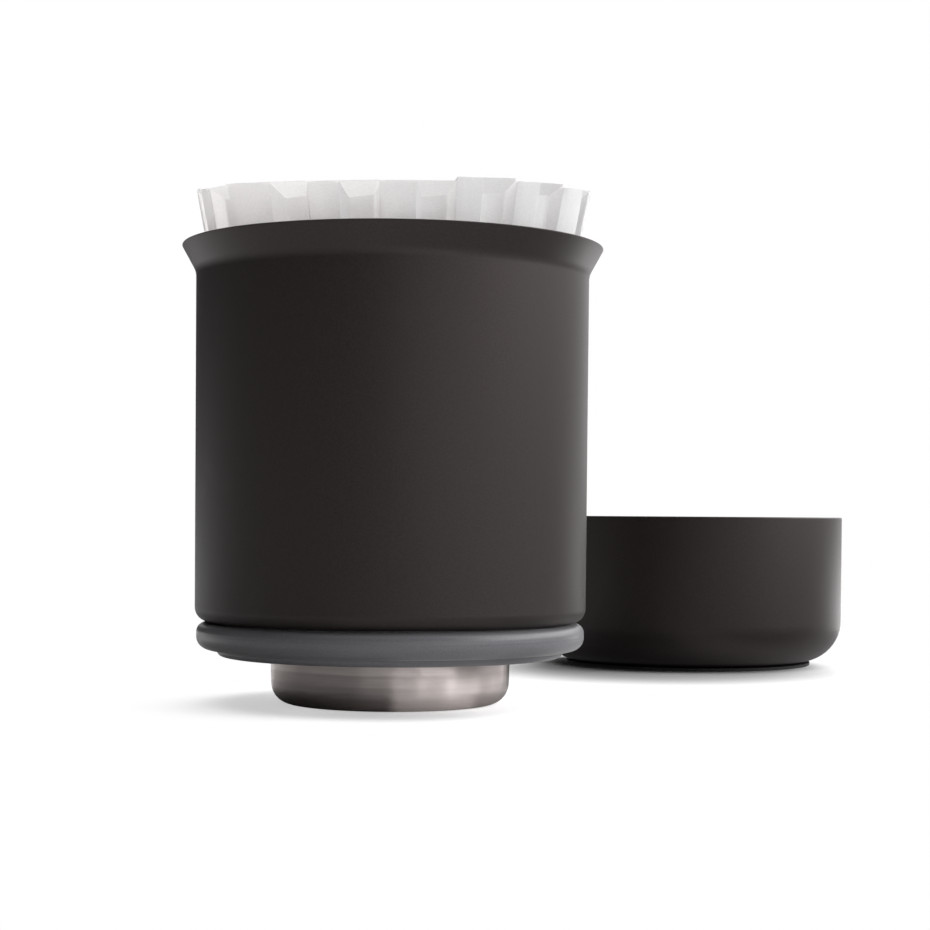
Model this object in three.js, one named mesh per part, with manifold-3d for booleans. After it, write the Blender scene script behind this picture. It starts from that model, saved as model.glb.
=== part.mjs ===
// A pour-over coffee dripper with its drip cup, built as the pieces that it comes apart into.
//
// The dripper is a double-walled steel body: a coated outer shell with a flared lip, and a steel cone
// inside it that ends in a perforated foot. A silicone ring under the body seats it on a mug, carafe
// or on its own drip cup, and a fluted paper filter stands in the cone. The drip cup stands beside it.
//
// Sizes are in millimetres. +Z is up, +Y points away from the viewer, and the origin is the middle of
// the underside of the dripper's steel foot, on the table.
import * as THREE from "three";
import { mergeVertices } from "three/addons/utils/BufferGeometryUtils.js";
import Module from "manifold-3d";

// Gaps between pieces that are welded, pressed or seated together, and the overrun of every cut.
const seatGap = 0.3;
const cutOverrun = 1;

// Steel foot: a deep-drawn cup with drain holes, which hangs below the body into the mug.
const footRadius = 30.05;
const footTaper = 0.75;
const footWall = 0.8;
const footCornerRadius = 5;
const drainHoleRadius = 1.5;
const innerHoleCount = 3;
const innerHoleCircleRadius = 6;
const outerHoleCount = 7;
const outerHoleCircleRadius = 15;

// Outer shell: a steel tube with a rounded bottom hem and a flared lip.
const shellLedge = 18.35;
const shellDraft = 0.5;
const shellBottomHeight = 20.2;
const shellWall = 0.7;
const shellCornerRadius = 3.5;
const shellHemWidth = 4.4;
const flareReach = 3.6;
const flareDrop = 6.55;
const flareBlendRadius = 5.2;
const lipHeight = 113;
const lipHemHeight = 0.8;
const lipRoundRadius = 0.2;

// Cone: the inner wall that the filter leans on. It runs from the foot to its throat, then flares.
const coneWall = 0.6;
const throatDrop = 10.7;
const throatBlendRadius = 6;

// Base plate: closes the vacuum space between shell and cone, with a pressed dish for the port.
const plateWall = 0.7;
const plateOverlap = 1.6;
const plateCollarHeight = 2.5;
const plateCollarWall = 0.6;
const portDishRadius = 3.2;
const portDishDepth = 1.4;
const portHoleRadius = 1;
const sealBeadThickness = 0.9;

// Getter: a pellet that keeps the vacuum, held on the plate by a sprung strap.
const getterRadius = 3.2;
const getterThickness = 1.8;
const strapWall = 0.4;
const strapWidth = 3;
const strapFootLength = 2;

// Silicone ring under the body: a bead that rests on the mug's rim and a collar that centres in it.
const ringClearance = 0.4;
const ringBossClearance = 0.5;
const ringBeadInset = 0.4;
const ringBeadThickness = 6.4;
const ringBeadTopRound = 1.9;
const ringBeadUnderRound = 2.6;
const ringSeatWidth = 5.1;
const ringCollarDepth = 1.75;
const ringCollarRound = 1.2;
const ringStepRound = 0.6;

// Paper filter: a flat-bottomed cone with flutes, which stands proud of the lip.
const paperThickness = 0.35;
const filterClearance = 0.4;
const filterStandOut = 14.6;
const filterEdgeLean = 5.2;
const filterLeanTurn = THREE.MathUtils.degToRad(7);
const fluteCount = 18;
const fluteBaseDepth = 1.2;
const fluteTopDepth = 3;
const fluteTurn = THREE.MathUtils.degToRad(8.25);
const fluteFadeHeight = 3.4;

// Drip cup: double-walled, about as wide as the body, on a rubber foot pad.
const cupPlaceX = 95.3;
const cupPlaceY = 141.3;
const cupRimWidth = 5.35;
const cupHeight = 46.8;
const cupWall = 0.7;
const cupDraft = 0.4;
const cupCornerRadius = 13;
const cupRimRound = 0.5;
const cupRimWall = 0.8;
const cupLinerWall = 0.6;
const cupMouthClearance = 0.5;
const cupLinerCornerRadius = 9;
const cupFloorGap = 3;
const padInset = 10.05;
const padThickness = 0.9;
const padEdgeRound = 0.3;

// Facets: sides of every turned piece, and the largest turn between two points of a rounded corner.
const turnedSides = 48;
const holeSides = 16;
const cornerStep = THREE.MathUtils.degToRad(24);
const mergeDistance = 1e-4;

const wasm = await Module();
wasm.setup();

// The fillet of one corner, as points from the side that comes in to the side that goes out.
function filletPoints(before, corner, after, radius) {
  const inward = before.clone().sub(corner).normalize();
  const outward = after.clone().sub(corner).normalize();
  const halfAngle = Math.acos(THREE.MathUtils.clamp(inward.dot(outward), -1, 1)) / 2;
  const turn = Math.PI - 2 * halfAngle;
  const bisector = inward.clone().add(outward).normalize();
  const centre = corner.clone().addScaledVector(bisector, radius / Math.sin(halfAngle));
  const start = corner.clone().addScaledVector(inward, radius / Math.tan(halfAngle));
  const handed = Math.sign(outward.cross(inward));
  const steps = Math.max(1, Math.ceil(turn / cornerStep));
  return Array.from({ length: steps + 1 }, (_, i) =>
    start.clone().rotateAround(centre, (handed * turn * i) / steps),
  );
}

// A profile from its corners [radius, height, fillet radius]. A closed one runs round to its start.
function profile(corners, closed) {
  const places = corners.map(([r, z]) => new THREE.Vector2(r, z));
  const count = corners.length;
  const points = corners.flatMap(([, , fillet = 0], i) =>
    fillet > 0
      ? filletPoints(places[(i + count - 1) % count], places[i], places[(i + 1) % count], fillet)
      : [places[i]],
  );
  return closed ? [...points, points[0].clone()] : points;
}

// A piece turned about the upright axis, from a profile whose inside lies to the left of its path.
function turned(corners, closed = true) {
  return new THREE.LatheGeometry(profile(corners, closed), turnedSides).rotateX(Math.PI / 2);
}

// The geometry as a solid that can be joined and cut.
function solidOf(geometry) {
  const bare = geometry.clone();
  bare.deleteAttribute("normal");
  bare.deleteAttribute("uv");
  const merged = mergeVertices(bare, mergeDistance);
  return new wasm.Manifold(
    new wasm.Mesh({
      numProp: 3,
      vertProperties: merged.attributes.position.array,
      triVerts: new Uint32Array(merged.index.array),
    }),
  );
}

function geometryOf(solid) {
  const mesh = solid.getMesh();
  const geometry = new THREE.BufferGeometry();
  geometry.setAttribute("position", new THREE.BufferAttribute(mesh.vertProperties, 3));
  geometry.setIndex(new THREE.BufferAttribute(mesh.triVerts, 1));
  geometry.computeVertexNormals();
  return geometry;
}

// An upright cylinder from one height to another, centred at (x, y).
function upright(radius, low, high, x, y) {
  const cylinder = new THREE.CylinderGeometry(radius, radius, high - low, holeSides);
  return solidOf(cylinder.rotateX(Math.PI / 2).translate(x, y, (low + high) / 2));
}

// Radii and levels that more than one piece follows.
const shellLowRadius = footRadius + shellLedge;
const shellHighRadius = shellLowRadius + shellDraft;
const shellHemRadius = shellLowRadius - shellHemWidth;
const lipRadius = shellHighRadius + flareReach;
const plateBottom = shellBottomHeight + shellWall + seatGap;
const plateTop = plateBottom + plateWall;
const plateCollarTop = plateTop + plateCollarHeight;
const coneBottom = plateBottom;
const coneNeckRadius = footRadius - footWall;
const footHeight = coneBottom - seatGap;
const filterTopHeight = lipHeight + filterStandOut;

// Slanted lines. The flare leans out from the shell to the lip, and the cone leans out from the foot
// to the throat, where its inside meets the flare's. Radii are measured level, at a height.
const flareSlope = flareReach / flareDrop;
const flareThickness = (wall) => wall * Math.hypot(1, flareSlope);
const lipWidth = flareThickness(shellWall + seatGap + coneWall);
const flareRadiusAt = (z, inset) => lipRadius - inset - (lipHeight - z) * flareSlope;
const throatHeight = lipHeight - throatDrop;
const coneSlope = (flareRadiusAt(throatHeight, lipWidth) - coneNeckRadius) / (throatHeight - coneBottom);
const coneThickness = (wall) => wall * Math.hypot(1, coneSlope);
const coneRadiusAt = (z) => coneNeckRadius + (z - coneBottom) * coneSlope;
const plateCollarRadius = coneRadiusAt(plateCollarTop) + coneThickness(coneWall) + seatGap;
const plateMiddleRadius = (plateCollarRadius + plateCollarWall + shellHemRadius) / 2;

function drainBase() {
  const low = footRadius - footTaper;
  const cup = turned(
    [
      [0, 0],
      [low, 0, footCornerRadius],
      [footRadius, footHeight],
      [footRadius - footWall, footHeight],
      [low - footWall, footWall, footCornerRadius - footWall],
      [0, footWall],
    ],
    false,
  );
  const rings = [
    [innerHoleCount, innerHoleCircleRadius],
    [outerHoleCount, outerHoleCircleRadius],
  ];
  let solid = solidOf(cup);
  for (const [count, circle] of rings) {
    for (let i = 0; i < count; i++) {
      const angle = (2 * Math.PI * i) / count;
      const [x, y] = [circle * Math.cos(angle), circle * Math.sin(angle)];
      solid = solid.subtract(upright(drainHoleRadius, -cutOverrun, footWall + cutOverrun, x, y));
    }
  }
  return geometryOf(solid);
}

function outerShell() {
  const insideFlare = flareThickness(shellWall);
  const hemTop = lipHeight - lipHemHeight;
  const rootInside = shellHighRadius - shellWall;
  const rootInsideHeight = lipHeight - (lipRadius - insideFlare - rootInside) / flareSlope;
  return turned([
    [shellHemRadius, shellBottomHeight],
    [shellLowRadius, shellBottomHeight, shellCornerRadius],
    [shellHighRadius, lipHeight - flareDrop, flareBlendRadius],
    [lipRadius, lipHeight, lipRoundRadius],
    [lipRadius - lipWidth, lipHeight, lipRoundRadius],
    [flareRadiusAt(hemTop, lipWidth), hemTop],
    [flareRadiusAt(hemTop, insideFlare), hemTop],
    [rootInside, rootInsideHeight, flareBlendRadius + shellWall],
    [shellLowRadius - shellWall, shellBottomHeight + shellWall, shellCornerRadius - shellWall],
    [shellHemRadius, shellBottomHeight + shellWall],
  ]);
}

function innerCone() {
  const top = lipHeight - lipHemHeight - seatGap;
  const wall = coneThickness(coneWall);
  const outsideInset = lipWidth - flareThickness(coneWall);
  const outsideGap = coneRadiusAt(throatHeight) + wall - flareRadiusAt(throatHeight, outsideInset);
  const outsideThroat = throatHeight + outsideGap / (flareSlope - coneSlope);
  return turned([
    [coneNeckRadius + wall, coneBottom],
    [coneRadiusAt(outsideThroat) + wall, outsideThroat, throatBlendRadius],
    [flareRadiusAt(top, outsideInset), top],
    [flareRadiusAt(top, lipWidth), top],
    [coneRadiusAt(throatHeight), throatHeight, throatBlendRadius + coneWall],
    [coneNeckRadius, coneBottom],
  ]);
}

function basePlate() {
  const outside = shellHemRadius + plateOverlap;
  const plate = turned([
    [plateCollarRadius, plateBottom],
    [outside, plateBottom],
    [outside, plateTop],
    [plateCollarRadius + plateCollarWall, plateTop],
    [plateCollarRadius + plateCollarWall, plateCollarTop],
    [plateCollarRadius, plateCollarTop],
  ]);
  const dishTop = plateBottom + portDishDepth;
  const x = plateMiddleRadius;
  const pressing = upright(portDishRadius + plateWall, plateBottom, dishTop + plateWall, x, 0);
  const hollow = upright(portDishRadius, plateBottom - cutOverrun, dishTop, x, 0);
  const hole = upright(portHoleRadius, plateBottom, dishTop + plateWall + cutOverrun, x, 0);
  return geometryOf(solidOf(plate).add(pressing).subtract(hollow).subtract(hole));
}

function sealBead() {
  const top = plateBottom + portDishDepth - seatGap;
  const radius = portDishRadius - seatGap;
  return geometryOf(upright(radius, top - sealBeadThickness, top, plateMiddleRadius, 0));
}

function getterPellet() {
  const bottom = plateTop + seatGap;
  return geometryOf(upright(getterRadius, bottom, bottom + getterThickness, -plateMiddleRadius, 0));
}

// A hat-shaped strap over the pellet. It lies across the plate's radius, with a foot on each side.
function getterStrap() {
  const bottom = plateTop + seatGap;
  const crown = bottom + getterThickness + seatGap;
  const inside = getterRadius + seatGap;
  const outside = inside + strapWall;
  const end = outside + strapFootLength;
  const over = [
    [end, bottom],
    [end, bottom + strapWall],
    [outside, bottom + strapWall],
    [outside, crown + strapWall],
  ];
  const under = [
    [inside, crown],
    [inside, bottom],
  ];
  const mirrored = (points) => points.map(([along, z]) => [-along, z]).reverse();
  const outline = [...over, ...mirrored(over), ...mirrored(under), ...under];
  const shape = new THREE.Shape(outline.map(([along, z]) => new THREE.Vector2(along, z)));
  return new THREE.ExtrudeGeometry(shape, { depth: strapWidth, bevelEnabled: false })
    .rotateX(Math.PI / 2)
    .rotateZ(Math.PI / 2)
    .translate(-plateMiddleRadius - strapWidth / 2, 0, 0);
}

// The silicone ring's radii and levels, which the drip cup's mouth also follows.
const ringBore = footRadius + ringClearance;
const ringBeadRadius = shellLowRadius - ringBeadInset;
const ringCollarRadius = ringBeadRadius - ringSeatWidth;
const ringBeadTop = shellBottomHeight - seatGap;
const ringBeadBottom = ringBeadTop - ringBeadThickness;

function siliconeRing() {
  const bossRadius = shellHemRadius - ringBossClearance;
  const bossTop = plateBottom - seatGap;
  const bottom = ringBeadBottom - ringCollarDepth;
  return turned([
    [ringBore, bottom],
    [ringCollarRadius, bottom, ringCollarRound],
    [ringCollarRadius, ringBeadBottom, ringStepRound],
    [ringBeadRadius, ringBeadBottom, ringBeadUnderRound],
    [ringBeadRadius, ringBeadTop, ringBeadTopRound],
    [bossRadius, ringBeadTop],
    [bossRadius, bossTop],
    [ringBore, bossTop],
  ]);
}

// Where each point of one flute lies round it, and how far it stands in from the paper's outer cone.
const flutePlaceShares = [0, 0.325, 0.475, 0.85];
const fluteInsetShares = [0, 0, 1, 1];
// Heights of the paper's rings, from its floor to where the flutes begin to fade.
const filterRingShares = [0, 0.12, 0.4, 0.7, 1];

// The fluted paper as one closed skin: outside, cut edge and inside. The cut edge leans with the
// paper, and each valley comes out to meet it in a small facet, so the edge itself is round.
function paperFilter() {
  const floor = footWall + seatGap;
  const columns = fluteCount * flutePlaceShares.length;
  const columnOf = (i) => {
    const [flute, part] = [Math.floor(i / flutePlaceShares.length), i % flutePlaceShares.length];
    const angle = fluteTurn + (2 * Math.PI * (flute + flutePlaceShares[part])) / fluteCount;
    const edge = filterTopHeight + filterEdgeLean * Math.sin(angle + filterLeanTurn);
    return { angle, inset: fluteInsetShares[part], edge };
  };
  const radiusAt = (z, inset) => {
    const rise = (z - floor) / (filterTopHeight - floor);
    const depth = THREE.MathUtils.lerp(fluteBaseDepth, fluteTopDepth, rise);
    return coneRadiusAt(z) - filterClearance - depth * inset;
  };
  // One ring of points, from the height of each column, what is left of its flute, and its skin.
  const ringPoints = (heightOf, fluting, skin) =>
    Array.from({ length: columns }, (_, i) => {
      const { angle, inset, edge } = columnOf(i);
      const z = heightOf(edge);
      const r = radiusAt(z, inset * fluting) - skin;
      return new THREE.Vector3(r * Math.cos(angle), r * Math.sin(angle), z);
    });
  const heights = filterRingShares.map(
    (share) => (edge) => THREE.MathUtils.lerp(floor, edge - fluteFadeHeight, share),
  );
  const insideHeights = [() => floor + paperThickness, ...heights.slice(1)];
  const skinRings = (levels, skin) => [
    ...levels.map((level) => ringPoints(level, 1, skin)),
    ringPoints((edge) => edge, 0, skin),
  ];
  const outside = skinRings(heights, 0);
  const inside = skinRings(insideHeights, paperThickness);
  const rings = [...outside, ...inside.reverse()];
  const points = [new THREE.Vector3(0, 0, floor), ...rings.flat()];
  points.push(new THREE.Vector3(0, 0, floor + paperThickness));
  const faces = [];
  const at = (ring, i) => 1 + ring * columns + (i % columns);
  for (let i = 0; i < columns; i++) {
    faces.push(0, at(0, i + 1), at(0, i));
    faces.push(points.length - 1, at(rings.length - 1, i), at(rings.length - 1, i + 1));
    for (let ring = 0; ring < rings.length - 1; ring++) {
      faces.push(at(ring, i), at(ring, i + 1), at(ring + 1, i));
      faces.push(at(ring, i + 1), at(ring + 1, i + 1), at(ring + 1, i));
    }
  }
  const geometry = new THREE.BufferGeometry().setFromPoints(points);
  geometry.setIndex(faces);
  geometry.computeVertexNormals();
  return geometry;
}

// The drip cup's mouth takes the silicone ring's collar, and its rim carries the bead.
const cupMouthRadius = ringCollarRadius + cupMouthClearance;
const cupRadius = cupMouthRadius + cupRimWidth;
const cupLowRadius = cupRadius - cupDraft;
const cupBottom = padThickness + seatGap;

function cupShell() {
  const rimInside = cupMouthRadius + cupLinerWall + seatGap;
  return turned(
    [
      [0, cupBottom],
      [cupLowRadius, cupBottom, cupCornerRadius],
      [cupRadius, cupHeight, cupRimRound],
      [rimInside, cupHeight],
      [rimInside, cupHeight - cupRimWall],
      [cupRadius - cupWall, cupHeight - cupRimWall],
      [cupLowRadius - cupWall, cupBottom + cupWall, cupCornerRadius - cupWall],
      [0, cupBottom + cupWall],
    ],
    false,
  );
}

function cupLiner() {
  const bottom = cupBottom + cupWall + cupFloorGap;
  const outside = cupMouthRadius + cupLinerWall;
  return turned(
    [
      [0, bottom],
      [outside, bottom, cupLinerCornerRadius + cupLinerWall],
      [outside, cupHeight],
      [cupMouthRadius, cupHeight],
      [cupMouthRadius, bottom + cupLinerWall, cupLinerCornerRadius],
      [0, bottom + cupLinerWall],
    ],
    false,
  );
}

function cupPad() {
  const padRadius = cupRadius - padInset;
  return turned(
    [
      [0, 0],
      [padRadius, 0, padEdgeRound],
      [padRadius, padThickness],
      [0, padThickness],
    ],
    false,
  );
}

// Finishes: colour, roughness and metalness of each.
const finishes = {
  blackCoat: new THREE.MeshStandardMaterial({ color: 0x242221, roughness: 0.5, metalness: 0 }),
  steel: new THREE.MeshStandardMaterial({ color: 0xb4aba5, roughness: 0.3, metalness: 1 }),
  silicone: new THREE.MeshStandardMaterial({ color: 0x4b4b4f, roughness: 0.6, metalness: 0 }),
  paper: new THREE.MeshStandardMaterial({ color: 0xe9e7e6, roughness: 0.9, metalness: 0 }),
  glass: new THREE.MeshStandardMaterial({ color: 0x9aa39a, roughness: 0.2, metalness: 0 }),
  getter: new THREE.MeshStandardMaterial({ color: 0x55534f, roughness: 0.8, metalness: 0.6 }),
  rubber: new THREE.MeshStandardMaterial({ color: 0x1c1b1b, roughness: 0.8, metalness: 0 }),
};

function piece(name, geometry, finish) {
  const mesh = new THREE.Mesh(geometry, finish);
  mesh.name = name;
  return mesh;
}

const dripper = new THREE.Group();
dripper.add(
  piece("outer_shell", outerShell(), finishes.blackCoat),
  piece("inner_cone", innerCone(), finishes.steel),
  piece("drain_base", drainBase(), finishes.steel),
  piece("base_plate", basePlate(), finishes.blackCoat),
  piece("vacuum_seal_bead", sealBead(), finishes.glass),
  piece("getter_pellet", getterPellet(), finishes.getter),
  piece("getter_strap", getterStrap(), finishes.steel),
  piece("silicone_ring", siliconeRing(), finishes.silicone),
  piece("paper_filter", paperFilter(), finishes.paper),
);

const dripCup = new THREE.Group();
dripCup.position.set(cupPlaceX, cupPlaceY, 0);
dripCup.add(
  piece("cup_outer_shell", cupShell(), finishes.blackCoat),
  piece("cup_liner", cupLiner(), finishes.steel),
  piece("cup_foot_pad", cupPad(), finishes.rubber),
);

const coffeeDripper = new THREE.Group();
coffeeDripper.add(dripper, dripCup);

export default coffeeDripper;
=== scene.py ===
import math
import random

import bmesh
import bpy
from mathutils import Matrix, Vector, noise
from mathutils.geometry import delaunay_2d_cdt


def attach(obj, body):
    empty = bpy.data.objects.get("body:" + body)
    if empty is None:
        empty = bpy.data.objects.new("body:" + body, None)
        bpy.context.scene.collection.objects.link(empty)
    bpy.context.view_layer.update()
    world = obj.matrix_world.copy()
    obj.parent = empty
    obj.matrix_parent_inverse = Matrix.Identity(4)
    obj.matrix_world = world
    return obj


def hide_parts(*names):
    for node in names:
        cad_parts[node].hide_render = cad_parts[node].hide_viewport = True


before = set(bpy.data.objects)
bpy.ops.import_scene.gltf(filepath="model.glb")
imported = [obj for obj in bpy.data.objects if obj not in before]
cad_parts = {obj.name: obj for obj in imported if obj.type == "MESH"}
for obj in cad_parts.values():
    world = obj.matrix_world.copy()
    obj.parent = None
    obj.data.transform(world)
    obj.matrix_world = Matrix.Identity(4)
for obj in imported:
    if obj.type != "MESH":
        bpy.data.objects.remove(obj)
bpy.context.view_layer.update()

# Drain base. A deep-drawn cup of bare stainless steel, pierced with ten drain holes and turned to a
# satin, then welded to the foot of the cone. It stands in the mouth of the mug.
MM = 0.001
TURNED_SIDES = 192
ROUNDING_STEP = math.radians(7)
CREASE_ANGLE = math.radians(32)

FOOT_RADIUS = 30.05
FOOT_LOW_RADIUS = 29.3
FOOT_WALL = 0.8
FOOT_CORNER = 5.0
FOOT_TOP = 20.9
FOOT_FLOOR_MARGIN = 1.0
DRAIN_HOLE_RADIUS = 1.5
DRAIN_HOLE_EASE = 0.18
DRAIN_HOLE_BEND_SHARE = 0.3
DRAIN_HOLE_SIDES = 32
DRAIN_HOLE_RINGS = ((3, 6.0), (7, 15.0))
FILL_TOLERANCE = 1e-7

# Each steel has a dull and a bright colour. The foot's are painted warmer and brighter than the other
# steel, a painted warm, bright reflection.
FOOT_PAINTED_REFLECTION_COLOURS = ((0.79, 0.705, 0.68, 1), (0.88, 0.79, 0.765, 1))
PLAIN_STEEL_COLOURS = ((0.62, 0.60, 0.59, 1), (0.72, 0.70, 0.69, 1))
STEEL_HANDLED_COLOUR = (0.43, 0.40, 0.375, 1)
STEEL_HANDLED_SHARE = 0.15
STEEL_LINE_SHINE = 0.07
STEEL_MARK_DULLING = 0.08
STEEL_EDGE_POLISH = 0.08
STEEL_ANISOTROPY = 0.95
ACROSS_THE_LINES = 0.25


def rounded_outline(corners):
    """Corners (radius, height, rounding) in millimetres as points, with the roundings drawn in."""
    places = [Vector(corner[:2]) for corner in corners]
    points = []
    for i, place in enumerate(places):
        if len(corners[i]) < 3:
            points.append(place)
            continue
        rounding = corners[i][2]
        inward = (places[i - 1] - place).normalized()
        outward = (places[(i + 1) % len(places)] - place).normalized()
        half = inward.angle(outward) / 2
        turn = math.pi - 2 * half
        centre = place + (inward + outward).normalized() * (rounding / math.sin(half))
        arm = place + inward * (rounding / math.tan(half)) - centre
        handed = math.copysign(1, outward.x * inward.y - outward.y * inward.x)
        steps = max(1, math.ceil(turn / ROUNDING_STEP))
        for step in range(steps + 1):
            points.append(centre + Matrix.Rotation(handed * turn * step / steps, 2) @ arm)
    return points


def level_ring(bm, radius, height, sides=TURNED_SIDES, centre=(0, 0)):
    """A level ring of points, or a single point on the axis."""
    if radius == 0:
        return [bm.verts.new((centre[0] * MM, centre[1] * MM, height * MM))]
    angles = [2 * math.pi * i / sides for i in range(sides)]
    return [
        bm.verts.new(
            (
                (centre[0] + radius * math.cos(a)) * MM,
                (centre[1] + radius * math.sin(a)) * MM,
                height * MM,
            )
        )
        for a in angles
    ]


def join_rings(bm, first, second):
    """The band of faces between two rings. Either may be a single point."""
    count = max(len(first), len(second))
    for i in range(count):
        j = (i + 1) % count
        corners = (
            first[i % len(first)],
            first[j % len(first)],
            second[j % len(second)],
            second[i % len(second)],
        )
        bm.faces.new(list(dict.fromkeys(corners)))


def turn_outline(bm, points, closed=True, sides=TURNED_SIDES, centre=(0, 0)):
    """Turns an outline about the upright axis through centre, and gives back its rings."""
    rings = [level_ring(bm, p[0], p[1], sides, centre) for p in points]
    pairs = list(zip(rings, rings[1:])) + ([(rings[-1], rings[0])] if closed else [])
    for first, second in pairs:
        join_rings(bm, first, second)
    return rings


def fill_level(bm, outside, holes):
    """A flat face between an outer ring and its round holes, each given as (ring, centre, radius)."""
    loops = [outside] + [ring for ring, _, _ in holes]
    verts = [vert for loop in loops for vert in loop]
    start, edges = 0, []
    for loop in loops:
        edges += [(start + i, start + (i + 1) % len(loop)) for i in range(len(loop))]
        start += len(loop)
    flat = [vert.co.xy / MM for vert in verts]
    for triangle in delaunay_2d_cdt(flat, edges, [], 0, FILL_TOLERANCE)[2]:
        middle = sum((flat[i] for i in triangle), Vector((0, 0))) / 3
        if all((middle - Vector(centre)).length > radius for _, centre, radius in holes):
            bm.faces.new([verts[i] for i in triangle])


def made_piece(name, bm, material, place=(0, 0, 0)):
    """The finished mesh as an object, smooth except where it turns a sharp corner."""
    bmesh.ops.recalc_face_normals(bm, faces=bm.faces)
    mesh = bpy.data.meshes.new(name)
    bm.to_mesh(mesh)
    bm.free()
    mesh.shade_smooth()
    mesh.set_sharp_from_angle(angle=CREASE_ANGLE)
    mesh.materials.append(material)
    piece = bpy.data.objects.new(name, mesh)
    piece.location = [along * MM for along in place]
    bpy.context.scene.collection.objects.link(piece)
    return piece


def add_node(tree, kind, feeds=None, **settings):
    """Adds a shader node with its settings. feeds gives each input a value, or a socket to link."""
    node = tree.nodes.new("ShaderNode" + kind)
    for setting, value in settings.items():
        setattr(node, setting, value)
    for socket, value in (feeds or {}).items():
        if isinstance(value, bpy.types.NodeSocket):
            tree.links.new(value, node.inputs[socket])
        else:
            node.inputs[socket].default_value = value
    return node


def calculate(tree, operation, *terms):
    """The result of one sum, product or other step on numbers and sockets."""
    return add_node(tree, "Math", dict(enumerate(terms)), operation=operation).outputs[0]


def spread(tree, value, low, high, to_low=0.0, to_high=1.0):
    """A value between low and high, eased into the range from to_low to to_high."""
    feeds = {
        "Value": value,
        "From Min": low,
        "From Max": high,
        "To Min": to_low,
        "To Max": to_high,
    }
    node = add_node(tree, "MapRange", feeds, interpolation_type="SMOOTHSTEP")
    return node.outputs["Result"]


def blend_colours(tree, share, first, second):
    """A colour between two others, by a mask."""
    node = add_node(tree, "Mix", {0: share, 6: first, 7: second}, data_type="RGBA")
    return node.outputs[2]


def lay_over(tree, mask, share, under, over):
    """A colour laid over another where a mask shows it, by a share at most."""
    return blend_colours(tree, calculate(tree, "MULTIPLY", mask, share), under, over)


def own_place(tree):
    """Where each point of the surface is, in the piece's own axes."""
    return add_node(tree, "TexCoord").outputs["Object"]


def cloudy(tree, place, scale, detail, roughness, distortion=0.0):
    """A mask of soft clouds."""
    feeds = {
        "Vector": place,
        "Scale": scale,
        "Detail": detail,
        "Roughness": roughness,
        "Distortion": distortion,
    }
    return add_node(tree, "TexNoise", feeds).outputs["Fac"]


def effect_group(name, takes, gives):
    """An empty node group. takes names its number inputs with their defaults, gives its outputs."""
    group = bpy.data.node_groups.new(name, "ShaderNodeTree")
    for label, value in takes.items():
        socket = group.interface.new_socket(label, in_out="INPUT", socket_type="NodeSocketFloat")
        socket.default_value = value
    for label in gives:
        group.interface.new_socket(label, in_out="OUTPUT", socket_type="NodeSocketFloat")
    return group, group.nodes.new("NodeGroupInput"), group.nodes.new("NodeGroupOutput")


def use_effect(tree, group, **values):
    """The group placed in a material, with that material's own values."""
    node = tree.nodes.new("ShaderNodeGroup")
    node.node_tree = group
    for label, value in values.items():
        node.inputs[label.replace("_", " ").capitalize()].default_value = value
    return node.outputs


def new_material(name):
    """A material with its Principled shader, which is given back with the node tree."""
    material = bpy.data.materials.new(name)
    material.use_nodes = True
    return material, material.node_tree, material.node_tree.nodes["Principled BSDF"]


def dress(tree, shader, colour, roughness, relief, strength, depth):
    """Gives a shader its colour, its roughness and its relief, with a depth in millimetres."""
    tree.links.new(colour, shader.inputs["Base Color"])
    tree.links.new(roughness, shader.inputs["Roughness"])
    feeds = {"Height": relief, "Strength": strength, "Distance": depth * MM}
    bump = add_node(tree, "Bump", feeds)
    tree.links.new(bump.outputs["Normal"], shader.inputs["Normal"])


# Lines left by the turning tool or the brushing belt. They run round the axis, and break into long
# streaks that are nowhere quite even.
STREAK_LEVELS = (0.75, 1.25)
LEAST_REACH = 1e-5
turned_lines, takes, gives = effect_group(
    "turned_lines",
    {"Spacing": 0.2, "Streak turns": 2.0},
    ("Relief", "Tone"),
)
axes = add_node(turned_lines, "SeparateXYZ", {0: own_place(turned_lines)}).outputs
reach = calculate(
    turned_lines,
    "SQRT",
    calculate(
        turned_lines,
        "ADD",
        calculate(turned_lines, "MULTIPLY", axes["X"], axes["X"]),
        calculate(turned_lines, "MULTIPLY", axes["Y"], axes["Y"]),
    ),
)
per_turn = calculate(
    turned_lines,
    "DIVIDE",
    takes.outputs["Streak turns"],
    calculate(turned_lines, "MAXIMUM", reach, LEAST_REACH),
)
pitch = calculate(turned_lines, "DIVIDE", 1 / MM, takes.outputs["Spacing"])
along_axis = calculate(turned_lines, "ADD", reach, axes["Z"])
wrapped = add_node(
    turned_lines,
    "CombineXYZ",
    {
        "X": calculate(turned_lines, "MULTIPLY", axes["X"], per_turn),
        "Y": calculate(turned_lines, "MULTIPLY", axes["Y"], per_turn),
        "Z": calculate(turned_lines, "MULTIPLY", along_axis, pitch),
    },
).outputs[0]
fine = cloudy(turned_lines, wrapped, scale=1.0, detail=3.0, roughness=0.65)
broad = cloudy(turned_lines, wrapped, scale=0.13, detail=2.0, roughness=0.5)
streaks = calculate(turned_lines, "ADD", fine, broad)
turned_lines.links.new(fine, gives.inputs["Relief"])
turned_lines.links.new(spread(turned_lines, streaks, *STREAK_LEVELS), gives.inputs["Tone"])

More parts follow.
